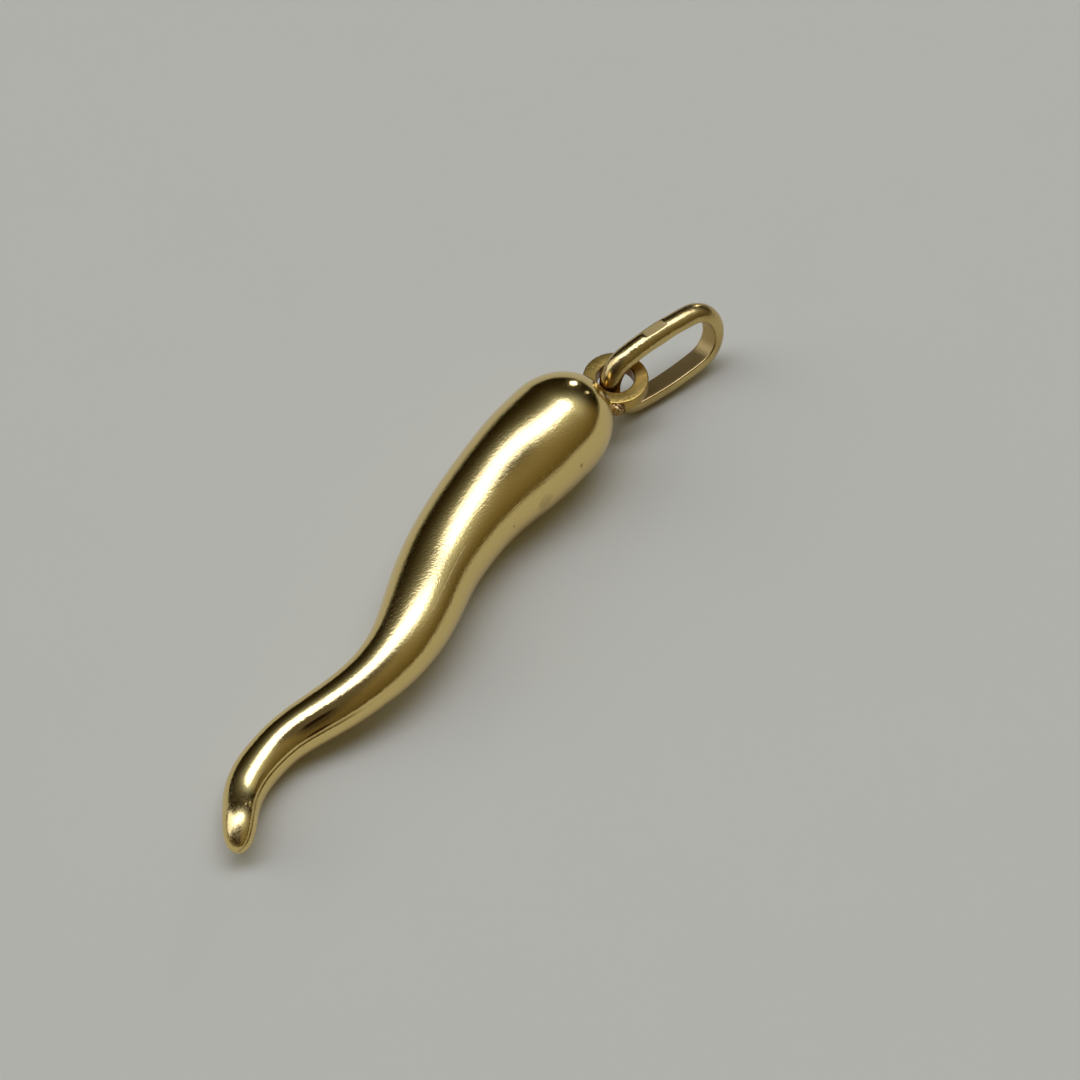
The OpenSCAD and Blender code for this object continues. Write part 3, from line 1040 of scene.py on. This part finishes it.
def add_lamp(row, aim, ahead, right):
    """Hangs a small round lamp that only the metal shows."""
    name, bearing, height, half = row[0], *(math.radians(v) for v in row[1:4])
    level = ahead * math.cos(bearing) + right * math.sin(bearing)
    place = aim + (level * math.cos(height) + Vector((0, 0, math.sin(height)))) * LAMP_GAP
    light = bpy.data.lights.new(name, "AREA")
    light.shape = "DISK"
    light.size = 2 * LAMP_GAP * math.tan(half)
    light.energy = row[4] * math.pi * math.pi * light.size ** 2 / 4
    lamp = bpy.data.objects.new(name, light)
    lamp.matrix_world = Matrix.Translation(place) @ facing(place, aim)
    lamp.visible_camera = False
    bpy.context.scene.collection.objects.link(lamp)


def wall_light(n, height, rows):
    """The light of the walls by their height, as a colour ramp."""
    ramp = n.add("ShaderNodeValToRGB", Fac=n.over(height, 90.0))
    stops = ramp.color_ramp.elements
    while len(stops) < len(rows):
        stops.new(0.5)
    for stop, (degrees, _) in zip(stops, rows):
        stop.position = degrees / 90.0
    for stop, (_, light) in zip(stops, rows):
        stop.color = (*light, 1.0)
    return ramp.outputs[0]


def lamp_reach(n, to_right, to_ahead, zenith):
    """How far out of the lamp's middle a direction is: 1 on its rim."""
    level = n.math("SINE", n.times(zenith, math.pi / 180))
    scale = n.over(zenith, n.math("MAXIMUM", level, 1e-4))
    x = n.minus(n.times(to_right, scale), LAMP_MIDDLE[0])
    y = n.minus(n.times(to_ahead, scale), LAMP_MIDDLE[1])
    c, s = math.cos(math.radians(LAMP_TURN)), math.sin(math.radians(LAMP_TURN))
    sides = []
    for (by_x, by_y), half in (((c, s), LAMP_HALF[0]), ((-s, c), LAMP_HALF[1])):
        across = n.plus(n.times(x, by_x / half), n.times(y, by_y / half))
        sides.append(n.math("POWER", n.math("ABSOLUTE", across), LAMP_CORNERS))
    return n.math("POWER", n.plus(*sides), 1 / LAMP_CORNERS)


def inside(n, value, low, high, rim):
    """1 between low and high, 0 outside, with a soft rim."""
    return n.times(n.spread(value, low - rim / 2, low + rim / 2),
                   n.spread(value, high + rim / 2, high - rim / 2))


def build_room(scene, ahead, right):
    """A dim warm room with a soft lamp overhead, a pale ceiling round it and a window."""
    world = bpy.data.worlds.new("room")
    world.use_nodes = True
    scene.world = world
    n = Nodes(world.node_tree)
    n.tree.nodes.clear()
    direction = n.add("ShaderNodeTexCoord").outputs["Generated"]
    up, to_right, to_ahead = (n.vector("DOT_PRODUCT", direction, tuple(axis))["Value"]
                              for axis in ((0, 0, 1), right, ahead))
    zenith = n.times(n.math("ARCCOSINE", up), 180 / math.pi)
    height = n.minus(90.0, zenith)
    bearing = n.times(n.math("ARCTAN2", to_right, to_ahead), 180 / math.pi)
    behind = n.blend(n.spread(to_right, *SHADED_BLEND), wall_light(n, height, ROOM_BEHIND),
                     wall_light(n, height, ROOM_SHADED))
    light = n.blend(n.spread(to_ahead, *AHEAD_BLEND), behind, wall_light(n, height, ROOM_AHEAD))
    window = n.times(inside(n, bearing, *WINDOW_BEARINGS, WINDOW_RIM),
                     inside(n, height, *WINDOW_HEIGHTS, WINDOW_RIM))
    light = n.blend(window, light, WINDOW_LIGHT)
    reach = lamp_reach(n, to_right, to_ahead, zenith)
    size = math.sqrt(LAMP_HALF[0] * LAMP_HALF[1])
    off = n.times(n.minus(reach, 1.0), -size / GLOW_FADE)
    fade = n.math("POWER", math.e, off, clamp=True)
    side = n.times(n.spread(n.math("ABSOLUTE", bearing), *GLOW_BEARINGS),
                   n.spread(height, *GLOW_HEIGHTS))
    light = n.blend(n.times(fade, side), light, GLOW_LIGHT, "ADD")
    light = n.blend(n.spread(reach, 1 + LAMP_RIM, 1 - LAMP_RIM), light, LAMP_LIGHT)
    seen = n.add("ShaderNodeLightPath").outputs["Is Camera Ray"]
    light = n.blend(seen, light, BACKDROP)
    shade = n.add("ShaderNodeBackground", Color=light, Strength=1.0)
    n.add("ShaderNodeOutputWorld", Surface=shade)


class HORNCHARM_OT_stage(bpy.types.Operator):
    """Sets the floor, the room, the lamps and the camera"""

    bl_idname = "horn_charm.stage"
    bl_label = "Stage"

    def execute(self, context):
        scene = context.scene
        stage = scene.horn_charm_stage
        aim, ahead, right = camera_axes(stage)
        bm = bmesh.new()
        bmesh.ops.create_grid(bm, x_segments=4, y_segments=4, size=FLOOR_HALF)
        floor = finished(bm, "floor", floor_paint(stage))
        for row in SMALL_LAMPS:
            add_lamp(row, aim, ahead, right)
        build_room(scene, ahead, right)
        camera = bpy.data.cameras.new("camera")
        camera.sensor_fit = "HORIZONTAL"
        camera.angle = stage.camera_view
        camera.clip_start, camera.clip_end = CAMERA_RANGE
        viewer = bpy.data.objects.new("camera", camera)
        tilt = stage.camera_tilt
        place = aim + (Vector((0, 0, math.sin(tilt))) - ahead * math.cos(tilt)) * stage.camera_gap
        viewer.matrix_world = Matrix.Translation(place) @ facing(place, aim)
        scene.collection.objects.link(viewer)
        scene.camera = viewer
        scene.view_settings.view_transform = "Standard"
        return {"FINISHED"}


class HORNCHARM_PT_panel(bpy.types.Panel):
    """Sizes, colours and builders of the horn charm"""

    bl_idname = "HORNCHARM_PT_panel"
    bl_label = "Horn Charm"
    bl_space_type = "VIEW_3D"
    bl_region_type = "UI"
    bl_category = "Horn Charm"

    def draw(self, context):
        layout = self.layout
        for attribute, group, title in PANEL_GROUPS:
            box = layout.box()
            box.label(text=title)
            for key in group.__annotations__:
                box.prop(getattr(context.scene, attribute), key)
        for operator in BUILDERS:
            layout.operator(operator.bl_idname)


BUILDERS = (HORNCHARM_OT_horn, HORNCHARM_OT_eyelet, HORNCHARM_OT_bail, HORNCHARM_OT_stage)
CLASSES = tuple(row[1] for row in PANEL_GROUPS) + BUILDERS + (HORNCHARM_PT_panel,)


def register():
    for cls in CLASSES:
        bpy.utils.register_class(cls)
    for attribute, group, _ in PANEL_GROUPS:
        setattr(bpy.types.Scene, attribute, bpy.props.PointerProperty(type=group))


def unregister():
    for attribute, _, _ in reversed(PANEL_GROUPS):
        delattr(bpy.types.Scene, attribute)
    for cls in reversed(CLASSES):
        bpy.utils.unregister_class(cls)


def main():
    register()
    bpy.ops.horn_charm.horn()
    bpy.ops.horn_charm.eyelet()
    bpy.ops.horn_charm.bail()
    bpy.ops.horn_charm.stage()


if __name__ == "__main__":
    main()
